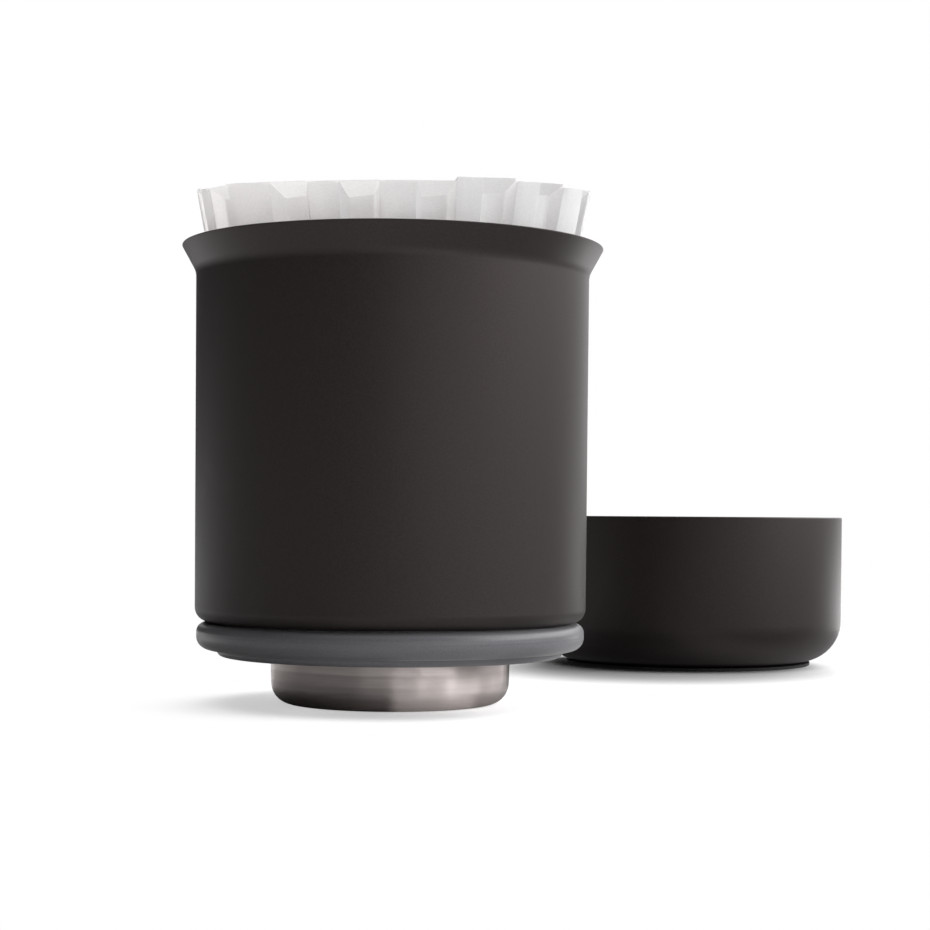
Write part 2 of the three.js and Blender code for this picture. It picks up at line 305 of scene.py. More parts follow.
# Marks of handling: the faint, soft-edged patches where hands have polished or greased a surface.
MARK_LEVEL = 0.72
MARK_COVER_DROP = 0.3
MARK_SOFTNESS = 0.2
handling_marks, takes, gives = effect_group(
    "handling_marks",
    {"Patch size": 14.0, "Cover": 0.5},
    ("Mark",),
)
patches = cloudy(
    handling_marks,
    own_place(handling_marks),
    scale=calculate(handling_marks, "DIVIDE", 1 / MM, takes.outputs["Patch size"]),
    detail=5.0,
    roughness=0.62,
    distortion=0.6,
)
drop = calculate(handling_marks, "MULTIPLY", takes.outputs["Cover"], MARK_COVER_DROP)
threshold = calculate(handling_marks, "SUBTRACT", MARK_LEVEL, drop)
full = calculate(handling_marks, "ADD", threshold, MARK_SOFTNESS)
handling_marks.links.new(
    spread(handling_marks, patches, threshold, full), gives.inputs["Mark"]
)

# Wear along edges, where a coating rubs thin or bare metal gets its polish.
RUB_PATCH_LEVELS = (0.42, 0.62)
RUB_LEAST_SHARE = 0.15
edge_rub, takes, gives = effect_group(
    "edge_rub",
    {"Start": 0.53, "Full": 0.6, "Patch size": 3.0},
    ("Rub",),
)
sharpness = add_node(edge_rub, "NewGeometry").outputs["Pointiness"]
ridge = spread(edge_rub, sharpness, takes.outputs["Start"], takes.outputs["Full"])
patches = cloudy(
    edge_rub,
    own_place(edge_rub),
    scale=calculate(edge_rub, "DIVIDE", 1 / MM, takes.outputs["Patch size"]),
    detail=4.0,
    roughness=0.7,
)
worn_patches = spread(edge_rub, patches, *RUB_PATCH_LEVELS, RUB_LEAST_SHARE, 1.0)
edge_rub.links.new(
    calculate(edge_rub, "MULTIPLY", ridge, worn_patches), gives.inputs["Rub"]
)


def steel_finish(name, colours, line_spacing, base_roughness, relief):
    """Bare stainless steel as turned: streaked lines, patches of handling, a polish on its edges."""
    material, tree, shader = new_material(name)
    lines = use_effect(tree, turned_lines, spacing=line_spacing, streak_turns=2.2)
    marks = use_effect(tree, handling_marks, patch_size=11.0, cover=0.45)
    rub = use_effect(tree, edge_rub, start=0.53, full=0.62, patch_size=2.0)
    toned = blend_colours(tree, lines["Tone"], *colours)
    handled = lay_over(tree, marks["Mark"], STEEL_HANDLED_SHARE, toned, STEEL_HANDLED_COLOUR)
    dullest = base_roughness + STEEL_LINE_SHINE / 2
    lined = calculate(tree, "MULTIPLY_ADD", lines["Tone"], -STEEL_LINE_SHINE, dullest)
    patched = calculate(tree, "MULTIPLY_ADD", marks["Mark"], STEEL_MARK_DULLING, lined)
    polished = calculate(tree, "MULTIPLY_ADD", rub["Rub"], -STEEL_EDGE_POLISH, patched)
    dress(tree, shader, handled, polished, lines["Relief"], strength=relief, depth=0.05)
    shader.inputs["Metallic"].default_value = 1.0
    shader.inputs["Anisotropic"].default_value = STEEL_ANISOTROPY
    shader.inputs["Anisotropic Rotation"].default_value = ACROSS_THE_LINES
    around = add_node(tree, "Tangent", direction_type="RADIAL", axis="Z").outputs["Tangent"]
    tree.links.new(around, shader.inputs["Tangent"])
    return material


# The foot's steel carries the painted warm reflection in its colours.
foot_steel = steel_finish(
    "foot_steel", FOOT_PAINTED_REFLECTION_COLOURS, line_spacing=0.16, base_roughness=0.36, relief=0.12
)

bm = bmesh.new()
floor_edge = FOOT_LOW_RADIUS - FOOT_CORNER - FOOT_FLOOR_MARGIN
rings = turn_outline(
    bm,
    rounded_outline(
        [
            (floor_edge, 0),
            (FOOT_LOW_RADIUS, 0, FOOT_CORNER),
            (FOOT_RADIUS, FOOT_TOP),
            (FOOT_RADIUS - FOOT_WALL, FOOT_TOP),
            (FOOT_LOW_RADIUS - FOOT_WALL, FOOT_WALL, FOOT_CORNER - FOOT_WALL),
            (floor_edge, FOOT_WALL),
        ]
    ),
    closed=False,
)
hole_wide = DRAIN_HOLE_RADIUS + DRAIN_HOLE_EASE
hole_bend = DRAIN_HOLE_BEND_SHARE * DRAIN_HOLE_EASE
hole = [
    (hole_wide, 0),
    (DRAIN_HOLE_RADIUS + hole_bend, hole_bend),
    (DRAIN_HOLE_RADIUS, DRAIN_HOLE_EASE),
    (DRAIN_HOLE_RADIUS, FOOT_WALL - DRAIN_HOLE_EASE),
    (DRAIN_HOLE_RADIUS + hole_bend, FOOT_WALL - hole_bend),
    (hole_wide, FOOT_WALL),
]
under_holes, over_holes = [], []
for count, circle in DRAIN_HOLE_RINGS:
    for i in range(count):
        angle = 2 * math.pi * i / count
        centre = (circle * math.cos(angle), circle * math.sin(angle))
        edges = turn_outline(bm, hole, closed=False, sides=DRAIN_HOLE_SIDES, centre=centre)
        under_holes.append((edges[0], centre, hole_wide))
        over_holes.append((edges[-1], centre, hole_wide))
fill_level(bm, rings[0], under_holes)
fill_level(bm, rings[-1], over_holes)
drain_foot = made_piece("drain_foot", bm, foot_steel)
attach(drain_foot, "dripper")
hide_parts("drain_base")

# Inner cone. A spun stainless cone that the filter leans on. It is welded to the foot below, and its
# mouth flares out to be held under the rolled lip of the outer shell.
CONE_BOTTOM = 21.2
CONE_NECK_RADIUS = 29.25
CONE_WALL = 0.6
LIP_RADIUS = 52.5
LIP_HEIGHT = 113.0
LIP_HEM_HEIGHT = 0.8
SEAT_GAP = 0.3
SHELL_WALL = 0.7
FLARE_SLOPE = 3.6 / 6.55
THROAT_HEIGHT = 102.3
THROAT_BLEND = 6.0


def slanted(wall, slope):
    """How wide a wall of that thickness is on the level, where it leans by slope."""
    return wall * math.hypot(1, slope)


def flare_radius(height, inset):
    """The flare's radius at a height, in from its outside by inset."""
    return LIP_RADIUS - inset - (LIP_HEIGHT - height) * FLARE_SLOPE


LIP_WIDTH = slanted(SHELL_WALL + SEAT_GAP + CONE_WALL, FLARE_SLOPE)
THROAT_RADIUS = flare_radius(THROAT_HEIGHT, LIP_WIDTH)
CONE_SLOPE = (THROAT_RADIUS - CONE_NECK_RADIUS) / (THROAT_HEIGHT - CONE_BOTTOM)


def cone_radius(height):
    """The inside of the cone at a height."""
    return CONE_NECK_RADIUS + (height - CONE_BOTTOM) * CONE_SLOPE


cone_steel = steel_finish(
    "cone_steel", PLAIN_STEEL_COLOURS, line_spacing=0.3, base_roughness=0.3, relief=0.4
)
cone_top = LIP_HEIGHT - LIP_HEM_HEIGHT - SEAT_GAP
cone_wall_level = slanted(CONE_WALL, CONE_SLOPE)
cone_inset = LIP_WIDTH - slanted(CONE_WALL, FLARE_SLOPE)
throat_gap = THROAT_RADIUS + cone_wall_level - flare_radius(THROAT_HEIGHT, cone_inset)
outside_throat = THROAT_HEIGHT + throat_gap / (FLARE_SLOPE - CONE_SLOPE)

bm = bmesh.new()
turn_outline(
    bm,
    rounded_outline(
        [
            (CONE_NECK_RADIUS + cone_wall_level, CONE_BOTTOM),
            (cone_radius(outside_throat) + cone_wall_level, outside_throat, THROAT_BLEND),
            (flare_radius(cone_top, cone_inset), cone_top),
            (flare_radius(cone_top, LIP_WIDTH), cone_top),
            (THROAT_RADIUS, THROAT_HEIGHT, THROAT_BLEND + CONE_WALL),
            (CONE_NECK_RADIUS, CONE_BOTTOM),
        ]
    ),
)
brew_cone = made_piece("brew_cone", bm, cone_steel)
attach(brew_cone, "dripper")
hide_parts("inner_cone")

# Outer shell. A drawn steel tube with a flared lip that is rolled over the cone, and a hem turned in
# below. It is powder coated a matte black, which pulls back a little on the sharp edges.
SHELL_LOW_RADIUS = 48.4
SHELL_HIGH_RADIUS = 48.9
SHELL_BOTTOM = 20.2
SHELL_CORNER = 3.5
SHELL_HEM_RADIUS = 44.0
FLARE_START = 106.45
FLARE_BLEND = 5.2
LIP_ROUND = 0.2

COAT_COLOUR = (0.0138, 0.0110, 0.0102, 1)
COAT_GRAIN_COLOUR = (0.0205, 0.0168, 0.0158, 1)
COAT_DUST_COLOUR = (0.3, 0.29, 0.28, 1)
COAT_DUST_SHARE = 0.5
COAT_RUB_COLOUR = (0.075, 0.072, 0.07, 1)
COAT_RUB_SHARE = 0.6
COAT_ROUGHNESS = 0.46
COAT_GRAIN_DULLING = 0.04
COAT_MARK_SHINE = 0.05
COAT_GLOSS = 0.45
COAT_GLOSS_TINT = (1.0, 0.88, 0.87, 1)

# The skin of a sprayed or moulded surface: low bumps that run together, with finer grit on them.
SWELL_LEVELS = (0.35, 0.65)
GRIT_LEVELS = (0.15, 0.6)
GRIT_TO_GRAIN = 2.6
fine_skin, takes, gives = effect_group(
    "fine_skin",
    {"Grain": 0.5, "Grit": 0.3},
    ("Relief", "Tone"),
)
place = own_place(fine_skin)
scale = calculate(fine_skin, "DIVIDE", 1 / MM, takes.outputs["Grain"])
swell = cloudy(fine_skin, place, scale, detail=2.0, roughness=0.5)
grit = add_node(
    fine_skin,
    "TexVoronoi",
    {"Vector": place, "Scale": calculate(fine_skin, "MULTIPLY", scale, GRIT_TO_GRAIN)},
    feature="SMOOTH_F1",
).outputs["Distance"]
peaks = spread(fine_skin, grit, *GRIT_LEVELS, 1.0, 0.0)
gritty = calculate(fine_skin, "MULTIPLY", takes.outputs["Grit"], peaks)
fine_skin.links.new(calculate(fine_skin, "ADD", swell, gritty), gives.inputs["Relief"])
fine_skin.links.new(spread(fine_skin, swell, *SWELL_LEVELS), gives.inputs["Tone"])

# Settled dust: sparse pale specks, which are larger where a surface faces up.
DUST_FACINGS = (-0.2, 1.0)
DUST_GROWTH = (0.5, 1.6)
settled_dust, takes, gives = effect_group(
    "settled_dust",
    {"Speck spacing": 3.0, "Speck size": 0.06},
    ("Speck",),
)
specks = add_node(
    settled_dust,
    "TexVoronoi",
    {
        "Vector": own_place(settled_dust),
        "Scale": calculate(settled_dust, "DIVIDE", 1 / MM, takes.outputs["Speck spacing"]),
    },
)
facing = add_node(
    settled_dust, "SeparateXYZ", {0: add_node(settled_dust, "NewGeometry").outputs["Normal"]}
).outputs["Z"]
chance = add_node(settled_dust, "SeparateColor", {0: specks.outputs["Color"]}).outputs[0]
growth = spread(settled_dust, facing, *DUST_FACINGS, *DUST_GROWTH)
grown = calculate(settled_dust, "MULTIPLY", chance, growth)
size = calculate(settled_dust, "MULTIPLY", takes.outputs["Speck size"], grown)
dot = calculate(settled_dust, "LESS_THAN", specks.outputs["Distance"], size)
settled_dust.links.new(dot, gives.inputs["Speck"])

black_coat, tree, shader = new_material("black_powder_coat")
skin = use_effect(tree, fine_skin, grain=0.42, grit=0.25)
marks = use_effect(tree, handling_marks, patch_size=22.0, cover=0.5)
rub = use_effect(tree, edge_rub, start=0.56, full=0.7, patch_size=1.6)
dust = use_effect(tree, settled_dust, speck_spacing=5.0, speck_size=0.03)
grained = blend_colours(tree, skin["Tone"], COAT_COLOUR, COAT_GRAIN_COLOUR)
dusted = lay_over(tree, dust["Speck"], COAT_DUST_SHARE, grained, COAT_DUST_COLOUR)
rubbed = lay_over(tree, rub["Rub"], COAT_RUB_SHARE, dusted, COAT_RUB_COLOUR)
grainy = calculate(tree, "MULTIPLY_ADD", skin["Tone"], COAT_GRAIN_DULLING, COAT_ROUGHNESS)
greased = calculate(tree, "MULTIPLY_ADD", marks["Mark"], -COAT_MARK_SHINE, grainy)
dress(tree, shader, rubbed, greased, skin["Relief"], strength=0.3, depth=0.02)
shader.inputs["Specular IOR Level"].default_value = COAT_GLOSS
shader.inputs["Specular Tint"].default_value = COAT_GLOSS_TINT

hem_top = LIP_HEIGHT - LIP_HEM_HEIGHT
inside_flare = slanted(SHELL_WALL, FLARE_SLOPE)
root_inside = SHELL_HIGH_RADIUS - SHELL_WALL
root_inside_height = LIP_HEIGHT - (LIP_RADIUS - inside_flare - root_inside) / FLARE_SLOPE

bm = bmesh.new()
turn_outline(
    bm,
    rounded_outline(
        [
            (SHELL_HEM_RADIUS, SHELL_BOTTOM),
            (SHELL_LOW_RADIUS, SHELL_BOTTOM, SHELL_CORNER),
            (SHELL_HIGH_RADIUS, FLARE_START, FLARE_BLEND),
            (LIP_RADIUS, LIP_HEIGHT, LIP_ROUND),
            (LIP_RADIUS - LIP_WIDTH, LIP_HEIGHT, LIP_ROUND),
            (flare_radius(hem_top, LIP_WIDTH), hem_top),
            (flare_radius(hem_top, inside_flare), hem_top),
            (root_inside, root_inside_height, FLARE_BLEND + SHELL_WALL),
            (SHELL_LOW_RADIUS - SHELL_WALL, SHELL_BOTTOM + SHELL_WALL, SHELL_CORNER - SHELL_WALL),
            (SHELL_HEM_RADIUS, SHELL_BOTTOM + SHELL_WALL),
        ]
    ),
)
coated_shell = made_piece("coated_shell", bm, black_coat)
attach(coated_shell, "dripper")
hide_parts("outer_shell")

# Base plate and its vacuum parts. A pressed ring closes the space between the walls. Its dished port
# is sealed with a fused glass bead after pumping, and a getter pellet sits under a sprung strap.
PLATE_WALL = 0.7
PLATE_TOP = CONE_BOTTOM + PLATE_WALL
PLATE_OUTER_RADIUS = 45.6
PLATE_COLLAR_TOP = 24.4
PLATE_COLLAR_WALL = 0.6
PORT_RADIUS = 3.2
PORT_DEPTH = 1.4
PORT_HOLE_RADIUS = 1.0
PORT_EASE = 0.15
PORT_SIDES = 48
GLASS_COLOURS = ((0.42, 0.48, 0.43, 1), (0.62, 0.66, 0.6, 1))
GLASS_ROUGHNESS = 0.14
GLASS_DULLING = 0.1
SINTER_COLOURS = ((0.09, 0.088, 0.083, 1), (0.19, 0.185, 0.175, 1))
SINTER_ROUGHNESS = 0.65
SINTER_DULLING = 0.15

plate_inner = cone_radius(PLATE_COLLAR_TOP) + cone_wall_level + SEAT_GAP
collar_outer = plate_inner + PLATE_COLLAR_WALL
port_centre = ((collar_outer + SHELL_HEM_RADIUS) / 2, 0)
dish_top = CONE_BOTTOM + PORT_DEPTH
press_radius = PORT_RADIUS + PLATE_WALL

bm = bmesh.new()
under = [level_ring(bm, radius, CONE_BOTTOM) for radius in (plate_inner, PLATE_OUTER_RADIUS)]
over = [level_ring(bm, radius, PLATE_TOP) for radius in (PLATE_OUTER_RADIUS, collar_outer)]
collar = [level_ring(bm, radius, PLATE_COLLAR_TOP) for radius in (collar_outer, plate_inner)]
for first, second in ((under[1], over[0]), (over[1], collar[0]), collar, (collar[1], under[0])):
    join_rings(bm, first, second)
dish = turn_outline(
    bm,
    [
        (PORT_RADIUS + PORT_EASE, CONE_BOTTOM),
        (PORT_RADIUS, CONE_BOTTOM + PORT_EASE),
        (PORT_RADIUS, dish_top),
        (PORT_HOLE_RADIUS, dish_top),
        (PORT_HOLE_RADIUS, dish_top + PLATE_WALL),
        (press_radius - PORT_EASE, dish_top + PLATE_WALL),
        (press_radius, dish_top + PLATE_WALL - PORT_EASE),
        (press_radius, PLATE_TOP),
    ],
    closed=False,
    sides=PORT_SIDES,
    centre=port_centre,
)
middle = (0, 0)
fill_level(
    bm,
    under[1],
    [(under[0], middle, plate_inner), (dish[0], port_centre, PORT_RADIUS + PORT_EASE)],
)
fill_level(
    bm, over[0], [(over[1], middle, collar_outer), (dish[-1], port_centre, press_radius)]
)
closing_plate = made_piece("closing_plate", bm, black_coat)
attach(closing_plate, "dripper")
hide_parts("base_plate")

sealing_glass, tree, shader = new_material("sealing_glass")
skin = use_effect(tree, fine_skin, grain=0.9, grit=0.5)
fused = blend_colours(tree, skin["Tone"], *GLASS_COLOURS)
satin = calculate(tree, "MULTIPLY_ADD", skin["Tone"], GLASS_DULLING, GLASS_ROUGHNESS)
dress(tree, shader, fused, satin, skin["Relief"], strength=0.4, depth=0.06)
shader.inputs["Transmission Weight"].default_value = 0.5
shader.inputs["IOR"].default_value = 1.62

getter_sinter, tree, shader = new_material("getter_sinter")
skin = use_effect(tree, fine_skin, grain=0.25, grit=1.0)
sintered = blend_colours(tree, skin["Tone"], *SINTER_COLOURS)
porous = calculate(tree, "MULTIPLY_ADD", skin["Tone"], SINTER_DULLING, SINTER_ROUGHNESS)
dress(tree, shader, sintered, porous, skin["Relief"], strength=0.8, depth=0.08)
shader.inputs["Metallic"].default_value = 0.8

strap_steel = steel_finish(
    "strap_steel", PLAIN_STEEL_COLOURS, line_spacing=0.12, base_roughness=0.3, relief=0.3
)
sealed_finishes = {
    "vacuum_seal_bead": sealing_glass,
    "getter_pellet": getter_sinter,
    "getter_strap": strap_steel,
}
for node_name, finish in sealed_finishes.items():
    for material_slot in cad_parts[node_name].material_slots:
        material_slot.material = finish

# Seat ring. One soft moulding of blue-grey silicone, stretched over the steel foot. Its bead rests on
# the mug's rim and its collar centres in the mouth. The mould's parting line runs round the bead.
RING_BORE = 30.45
RING_BOTTOM = 11.75
RING_COLLAR_RADIUS = 42.9
RING_COLLAR_ROUND = 1.2
RING_STEP_ROUND = 0.6
RING_BEAD_RADIUS = 48.0
RING_BEAD_BOTTOM = 13.5
RING_BEAD_TOP = 19.9
RING_UNDER_ROUND = 3.0
RING_TOP_ROUND = 2.2
RING_BOSS_RADIUS = 43.5
RING_BOSS_TOP = 20.9
PARTING_HEIGHT = 17.2
PARTING_WIDTH = 0.32
PARTING_PROUD = 0.03

SILICONE_COLOUR = (0.147, 0.144, 0.157, 1)
SILICONE_PALE_COLOUR = (0.177, 0.174, 0.187, 1)
SILICONE_CHALK_COLOUR = (0.190, 0.187, 0.197, 1)
SILICONE_CHALK_SHARE = 0.25
SILICONE_WORN_COLOUR = (0.212, 0.209, 0.220, 1)
SILICONE_WORN_SHARE = 0.3
SILICONE_DUST_COLOUR = (0.4, 0.39, 0.38, 1)
SILICONE_DUST_SHARE = 0.5
SILICONE_ROUGHNESS = 0.36
SILICONE_CHALK_DULLING = 0.1

grey_silicone, tree, shader = new_material("grey_silicone")
skin = use_effect(tree, fine_skin, grain=0.3, grit=0.4)
marks = use_effect(tree, handling_marks, patch_size=16.0, cover=0.6)
rub = use_effect(tree, edge_rub, start=0.53, full=0.62, patch_size=2.5)
dust = use_effect(tree, settled_dust, speck_spacing=2.6, speck_size=0.035)
moulded = blend_colours(tree, skin["Tone"], SILICONE_COLOUR, SILICONE_PALE_COLOUR)
chalked = lay_over(tree, marks["Mark"], SILICONE_CHALK_SHARE, moulded, SILICONE_CHALK_COLOUR)
worn = lay_over(tree, rub["Rub"], SILICONE_WORN_SHARE, chalked, SILICONE_WORN_COLOUR)
dusted = lay_over(tree, dust["Speck"], SILICONE_DUST_SHARE, worn, SILICONE_DUST_COLOUR)
matt = calculate(
    tree, "MULTIPLY_ADD", marks["Mark"], SILICONE_CHALK_DULLING, SILICONE_ROUGHNESS
)
dress(tree, shader, dusted, matt, skin["Relief"], strength=0.35, depth=0.03)
shader.inputs["Sheen Weight"].default_value = 0.15
shader.inputs["Sheen Roughness"].default_value = 0.4

bm = bmesh.new()
turn_outline(
    bm,
    rounded_outline(
        [
            (RING_BORE, RING_BOTTOM),
            (RING_COLLAR_RADIUS, RING_BOTTOM, RING_COLLAR_ROUND),
            (RING_COLLAR_RADIUS, RING_BEAD_BOTTOM, RING_STEP_ROUND),
            (RING_BEAD_RADIUS, RING_BEAD_BOTTOM, RING_UNDER_ROUND),
            (RING_BEAD_RADIUS, PARTING_HEIGHT - PARTING_WIDTH / 2),
            (RING_BEAD_RADIUS + PARTING_PROUD, PARTING_HEIGHT),
            (RING_BEAD_RADIUS, PARTING_HEIGHT + PARTING_WIDTH / 2),
            (RING_BEAD_RADIUS, RING_BEAD_TOP, RING_TOP_ROUND),
            (RING_BOSS_RADIUS, RING_BEAD_TOP),
            (RING_BOSS_RADIUS, RING_BOSS_TOP),
            (RING_BORE, RING_BOSS_TOP),
        ]
    ),
)
seat_ring = made_piece("seat_ring_moulding", bm, grey_silicone)
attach(seat_ring, "seat_ring")
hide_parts("silicone_ring")

# Paper filter. A disc of bleached, creped paper pressed into eighteen flutes round a flat floor. Each
# valley is squeezed out to meet the cut edge in a small facet, and no two are quite alike.
PAPER = 0.35
PAPER_FLOOR = 1.1
PAPER_CLEARANCE = 0.4
PAPER_EDGE_HEIGHT = 127.6
PAPER_EDGE_LEAN = 5.17
PAPER_LEAN_TURN = math.radians(7)
PAPER_EDGE_RAG = 0.3
PAPER_RAG_WAVES = 4.3
PAPER_SLACK = 0.1
# The slow sway of the wall and its fine crinkle: how far in millimetres, and how many waves round it
# and up it.
PAPER_SWAY = 0.22
PAPER_SWAY_OUT_SHARE = 0.45
PAPER_SWAY_WAVES = 2.1
PAPER_SWAY_PER_MM = 0.018
PAPER_CRINKLE = 0.07
PAPER_CRINKLES_ROUND = 9
PAPER_CRINKLES_PER_MM = 0.11
FLOOR_CRINKLE = 0.03
FLOOR_CRINKLE_WAVES = 160
FLOOR_CRINKLE_LAYER = 0.3
FLOOR_RING_POWER = 0.8

FLUTES = 18
FLUTE_TURN = math.radians(8.25)
FLUTE_BASE_DEPTH = 1.2
FLUTE_TOP_DEPTH = 3.0
FLUTE_FADE = 2.8
FLUTE_SKEW = 2.2
# Where each column of points lies round one flute, and how much of the flute's depth it has.
FLUTE_PLACE_SHARES = (
    0.0, 0.06, 0.13, 0.21, 0.29, 0.37, 0.385, 0.41, 0.435, 0.45, 0.47, 0.56, 0.65, 0.74, 0.82,
    0.845, 0.87, 0.90, 0.93,
)
FLUTE_DEPTH_SHARES = (
    0.0, 0.0, 0.0, 0.0, 0.0, 0.06, 0.2, 0.5, 0.8, 0.94, 1.0, 1.0, 1.0, 1.0, 1.0, 0.94, 0.7, 0.4,
    0.1,
)
VALLEY_SHARE = 0.66
VALLEY_HALF_SHARE = 0.16
STEP_SHARE = 0.91
FACET_LEAST_SHARE = 0.08
# How unlike each other the flutes are: degrees, millimetres, a share of the depth, millimetres of
# fade, and a share of the skew. The first two are for the flutes that the photograph hides.
HIDDEN_TURNS = (-0.9, 0.9)
HIDDEN_LIFTS = (-0.4, 0.0)
DEEPEN_SHARES = (-0.12, 0.1)
FADE_CHANGES = (-0.5, 0.5)
SKEW_SHARES = (-1.0, 1.0)
# How far the flutes that the photograph shows are turned from their even places, in degrees, and how
# far their part of the edge stands up, in millimetres.
SEEN_FLUTE_TURNS = {
    0: 2.0, 7: -4.5, 8: -9.0, 9: -12.5, 10: -12.0, 11: -1.5, 12: -0.8, 13: 0.7, 14: -0.5, 15: -0.5,
    16: 6.0, 17: 4.5,
}
SEEN_FLUTE_LIFTS = {9: 0.2, 10: -0.1, 11: 0.2, 12: 0.1, 13: 0.0, 14: 0.9, 15: 0.3, 16: -0.4}
WALL_RINGS = 34
FACET_RINGS = 7
FLOOR_RINGS = 10
PAPER_SEED = 11

PAPER_COLOUR = (0.86, 0.838, 0.84, 1)
PAPER_SHADE_COLOUR = (0.81, 0.788, 0.79, 1)
PAPER_MARK_COLOUR = (0.72, 0.69, 0.67, 1)
PAPER_MARK_SHARE = 0.15
PAPER_ROUGHNESS = 0.92
PAPER_FIBRE_SHINE = 0.08
CREPE_STRETCH = (0.7, 0.7, 1.2)
CREPE_PER_MM = 2.2
FIBRES_PER_MM = 5.0
FIBRE_LEVELS = (0.8, 1.2)
FIBRE_RELIEF_SHARE = 0.35

filter_paper, tree, shader = new_material("filter_paper")
place = own_place(tree)
marks = use_effect(tree, handling_marks, patch_size=9.0, cover=0.7)
creped = add_node(tree, "Mapping", {"Vector": place, "Scale": CREPE_STRETCH}).outputs[0]
crepe = cloudy(tree, creped, CREPE_PER_MM / MM, detail=4.0, roughness=0.6, distortion=0.4)
fibre = cloudy(tree, place, FIBRES_PER_MM / MM, detail=3.0, roughness=0.7, distortion=1.5)
fibre_tone = spread(tree, calculate(tree, "ADD", crepe, fibre), *FIBRE_LEVELS)
pressed = blend_colours(tree, fibre_tone, PAPER_SHADE_COLOUR, PAPER_COLOUR)
marked = lay_over(tree, marks["Mark"], PAPER_MARK_SHARE, pressed, PAPER_MARK_COLOUR)
dull = calculate(tree, "MULTIPLY_ADD", fibre_tone, -PAPER_FIBRE_SHINE, PAPER_ROUGHNESS)
fibre_relief = calculate(tree, "MULTIPLY", fibre, FIBRE_RELIEF_SHARE)
relief = calculate(tree, "ADD", crepe, fibre_relief)
dress(tree, shader, marked, dull, relief, strength=0.3, depth=0.05)
shader.inputs["Specular IOR Level"].default_value = 0.25
shader.inputs["Subsurface Weight"].default_value = 1.0
shader.inputs["Subsurface Radius"].default_value = (1.0, 0.96, 0.94)
shader.inputs["Subsurface Scale"].default_value = 1.8 * MM

dice = random.Random(PAPER_SEED)
flute_habits = [
    {
        "turn": SEEN_FLUTE_TURNS.get(flute, dice.uniform(*HIDDEN_TURNS)),
        "lift": SEEN_FLUTE_LIFTS.get(flute, dice.uniform(*HIDDEN_LIFTS)),
        "deepen": dice.uniform(*DEEPEN_SHARES),
        "fade": dice.uniform(*FADE_CHANGES),
        "skew": dice.uniform(*SKEW_SHARES),
    }
    for flute in range(FLUTES)
]


def eased(share):
    """A share from 0 to 1 that starts and ends gently."""
    share = min(max(share, 0.0), 1.0)
    return share * share * (3 - 2 * share)


def paper_columns():
    """Each column of the paper: its angle, the depth it has in full, and how its flute sits."""
    columns = []
    for flute, habit in enumerate(flute_habits):
        for place_share, depth_share in zip(FLUTE_PLACE_SHARES, FLUTE_DEPTH_SHARES):
            past = place_share - VALLEY_SHARE
            neighbour = flute_habits[(flute + (1 if past > 0 else -1)) % FLUTES]
            blend = eased((abs(past) - VALLEY_HALF_SHARE) / (1 - 2 * VALLEY_HALF_SHARE))
            turn = habit["turn"] + (neighbour["turn"] - habit["turn"]) * blend
            lift = neighbour["lift"] if past > STEP_SHARE - VALLEY_SHARE else habit["lift"]
            angle = FLUTE_TURN + 2 * math.pi * (flute + place_share) / FLUTES
            columns.append((angle + math.radians(turn), depth_share, past, habit, lift))
    return columns


def paper_point(column, share, skin):
    """A point on one column. Its share is 0 at the floor, 1 where the facet starts, 2 at the edge."""
    angle, depth_share, past, habit, lift = column
    across, back = math.cos(angle), math.sin(angle)
    waver = noise.noise(Vector((across, back, 0)) * PAPER_RAG_WAVES) - 1
    edge = PAPER_EDGE_HEIGHT + PAPER_EDGE_LEAN * math.sin(angle + PAPER_LEAN_TURN)
    edge += lift + PAPER_EDGE_RAG * waver / 2
    facet = FLUTE_FADE + habit["fade"] + FLUTE_SKEW * habit["skew"] * past
    start = edge - facet * max(depth_share, FACET_LEAST_SHARE)
    if share <= 1:
        height = PAPER_FLOOR + (start - PAPER_FLOOR) * share
    else:
        height = start + (edge - start) * (share - 1)
    rise = (height - PAPER_FLOOR) / (PAPER_EDGE_HEIGHT - PAPER_FLOOR)
    depth = FLUTE_BASE_DEPTH + (FLUTE_TOP_DEPTH - FLUTE_BASE_DEPTH) * rise
    depth *= depth_share * (1 + habit["deepen"])
    if share > 1:
        depth *= 2 - share
    here = Vector((across, back, height * PAPER_SWAY_PER_MM))
    sway = noise.noise(here * PAPER_SWAY_WAVES) * PAPER_SWAY * rise
    rounds = PAPER_CRINKLES_ROUND
    here = Vector((across * rounds, back * rounds, height * PAPER_CRINKLES_PER_MM))
    crinkle = noise.noise(here) * PAPER_CRINKLE
    smooth = cone_radius(height) - PAPER_CLEARANCE - depth - PAPER_SLACK
    radius = smooth + sway * PAPER_SWAY_OUT_SHARE + crinkle - skin
    return Vector((radius * across, radius * back, height)) * MM


bm = bmesh.new()
columns = paper_columns()
wall_shares = [i / WALL_RINGS for i in range(WALL_RINGS + 1)]
facet_shares = [1 + i / FACET_RINGS for i in range(1, FACET_RINGS + 1)]


def paper_skin(shares, skin, lift):
    """The rings of one side of the paper wall. The inside's lowest ring is lifted by the paper."""
    rings = []
    for share in shares:
        ring = [paper_point(column, share, skin) for column in columns]
        if share == 0:
            ring = [Vector((p.x, p.y, p.z + lift * MM)) for p in ring]
        rings.append([bm.verts.new(p) for p in ring])
    for first, second in zip(rings, rings[1:]):
        join_rings(bm, first, second)
    return rings


